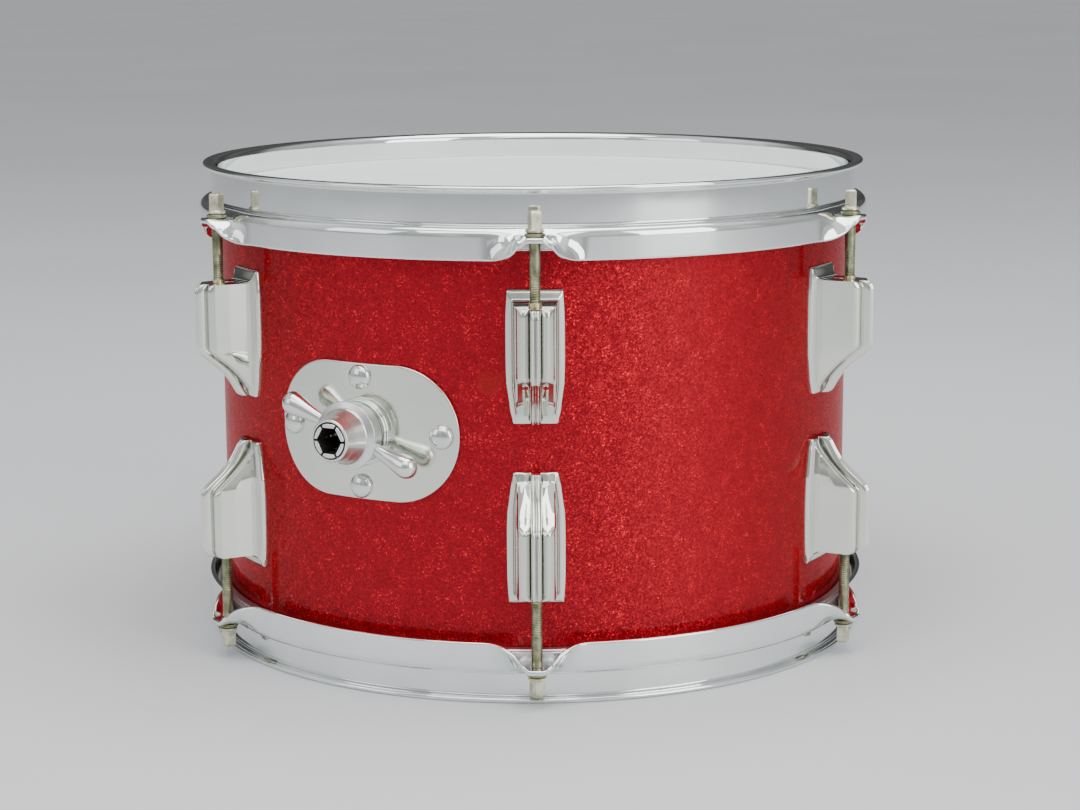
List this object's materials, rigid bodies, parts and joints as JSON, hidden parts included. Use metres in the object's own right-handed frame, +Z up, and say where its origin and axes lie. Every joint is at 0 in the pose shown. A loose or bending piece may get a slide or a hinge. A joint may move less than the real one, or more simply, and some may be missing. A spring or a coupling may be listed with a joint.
{
  "type": "tom tom drum",
  "caption": "Small rack tom with a sparkle-wrapped wooden shell, pressed steel hoops, ribbed lugs, tension rods and a collet arm mount.",
  "frame": {"origin": "centre of the lower hoop's lip, on the plane that the drum stands on", "axes": "+Z up along the drum's axis, -Y towards the front lugs, the arm mount 30 degrees from the front towards -X"},
  "size_m": [0.3236, 0.3568, 0.2279],
  "materials": {
    "sparkle_wrap": "red sparkle pearl wrap, glossy and lightly scuffed",
    "maple_ply": "clear-finished ply, lighter than the reinforcement rings' end grain",
    "chrome": "bright chrome plate with faint age haze",
    "satin_chrome": "chrome plate, a little duller and hazed",
    "plated_rod": "aged yellowish plating",
    "brass": "dull brass",
    "coated_film": "white coated polyester film with a faint texture",
    "clear_film": "hazy smooth polyester film",
    "aluminium": "drawn aluminium",
    "plain_steel": "zinc-plated steel"
  },
  "bodies": {
    "drum": {"shell": "maple_ply", "shell_wrap": "sparkle_wrap", "reinforcement_ring_top": "maple_ply", "reinforcement_ring_bottom": "maple_ply", "vent_grommet": "brass", "batter_head": "coated_film", "batter_flesh_hoop": "aluminium", "batter_hoop": "chrome", "resonant_head": "clear_film", "resonant_flesh_hoop": "aluminium", "resonant_hoop": "chrome", "lug_top_1": "chrome", "lug_top_2": "chrome", "lug_top_3": "chrome", "lug_top_4": "chrome", "lug_top_5": "chrome", "lug_top_6": "chrome", "lug_bottom_1": "chrome", "lug_bottom_2": "chrome", "lug_bottom_3": "chrome", "lug_bottom_4": "chrome", "lug_bottom_5": "chrome", "lug_bottom_6": "chrome", "rod_washers_top": "plated_rod", "rod_washers_bottom": "plated_rod", "swivel_nuts": "brass", "swivel_nut_clips": "plain_steel", "lug_screws": "plain_steel", "lug_screw_washers": "plain_steel", "mount_plate": "chrome", "mount_bolts": "satin_chrome", "mount_bolt_washers": "plain_steel", "mount_bolt_nuts": "plain_steel", "receiver_body": "chrome", "receiver_saddle": "plain_steel", "receiver_lock_nut": "plain_steel", "collet": "satin_chrome"},
    "tension_rod_top_1": {"tension_rod_top_1": "plated_rod"},
    "tension_rod_top_2": {"tension_rod_top_2": "plated_rod"},
    "tension_rod_top_3": {"tension_rod_top_3": "plated_rod"},
    "tension_rod_top_4": {"tension_rod_top_4": "plated_rod"},
    "tension_rod_top_5": {"tension_rod_top_5": "plated_rod"},
    "tension_rod_top_6": {"tension_rod_top_6": "plated_rod"},
    "tension_rod_bottom_1": {"tension_rod_bottom_1": "plated_rod"},
    "tension_rod_bottom_2": {"tension_rod_bottom_2": "plated_rod"},
    "tension_rod_bottom_3": {"tension_rod_bottom_3": "plated_rod"},
    "tension_rod_bottom_4": {"tension_rod_bottom_4": "plated_rod"},
    "tension_rod_bottom_5": {"tension_rod_bottom_5": "plated_rod"},
    "tension_rod_bottom_6": {"tension_rod_bottom_6": "plated_rod"},
    "wing_nut": {"wing_nut": "satin_chrome"}
  },
  "joints": [
    {"name": "tension_rod_top_1_turn", "type": "hinge", "parent": "drum", "child": "tension_rod_top_1", "pos_m": [0, -0.1668, 0.2075], "axis": [0, 0, 1], "continuous": true},
    {"name": "tension_rod_bottom_1_turn", "type": "hinge", "parent": "drum", "child": "tension_rod_bottom_1", "pos_m": [0, -0.1668, 0.0165], "axis": [0, 0, -1], "continuous": true},
    {"name": "tension_rod_top_2_turn", "type": "hinge", "parent": "drum", "child": "tension_rod_top_2", "pos_m": [0.14445, -0.0834, 0.2075], "axis": [0, 0, 1], "continuous": true},
    {"name": "tension_rod_bottom_2_turn", "type": "hinge", "parent": "drum", "child": "tension_rod_bottom_2", "pos_m": [0.14445, -0.0834, 0.0165], "axis": [0, 0, -1], "continuous": true},
    {"name": "tension_rod_top_3_turn", "type": "hinge", "parent": "drum", "child": "tension_rod_top_3", "pos_m": [0.14445, 0.0834, 0.2075], "axis": [0, 0, 1], "continuous": true},
    {"name": "tension_rod_bottom_3_turn", "type": "hinge", "parent": "drum", "child": "tension_rod_bottom_3", "pos_m": [0.14445, 0.0834, 0.0165], "axis": [0, 0, -1], "continuous": true},
    {"name": "tension_rod_top_4_turn", "type": "hinge", "parent": "drum", "child": "tension_rod_top_4", "pos_m": [0, 0.1668, 0.2075], "axis": [0, 0, 1], "continuous": true},
    {"name": "tension_rod_bottom_4_turn", "type": "hinge", "parent": "drum", "child": "tension_rod_bottom_4", "pos_m": [0, 0.1668, 0.0165], "axis": [0, 0, -1], "continuous": true},
    {"name": "tension_rod_top_5_turn", "type": "hinge", "parent": "drum", "child": "tension_rod_top_5", "pos_m": [-0.14445, 0.0834, 0.2075], "axis": [0, 0, 1], "continuous": true},
    {"name": "tension_rod_bottom_5_turn", "type": "hinge", "parent": "drum", "child": "tension_rod_bottom_5", "pos_m": [-0.14445, 0.0834, 0.0165], "axis": [0, 0, -1], "continuous": true},
    {"name": "tension_rod_top_6_turn", "type": "hinge", "parent": "drum", "child": "tension_rod_top_6", "pos_m": [-0.14445, -0.0834, 0.2075], "axis": [0, 0, 1], "continuous": true},
    {"name": "tension_rod_bottom_6_turn", "type": "hinge", "parent": "drum", "child": "tension_rod_bottom_6", "pos_m": [-0.14445, -0.0834, 0.0165], "axis": [0, 0, -1], "continuous": true},
    {"name": "wing_nut_turn", "type": "hinge", "parent": "drum", "child": "wing_nut", "pos_m": [-0.08317, -0.14406, 0.1177], "axis": [-0.5, -0.866, 0], "continuous": true}
  ]
}
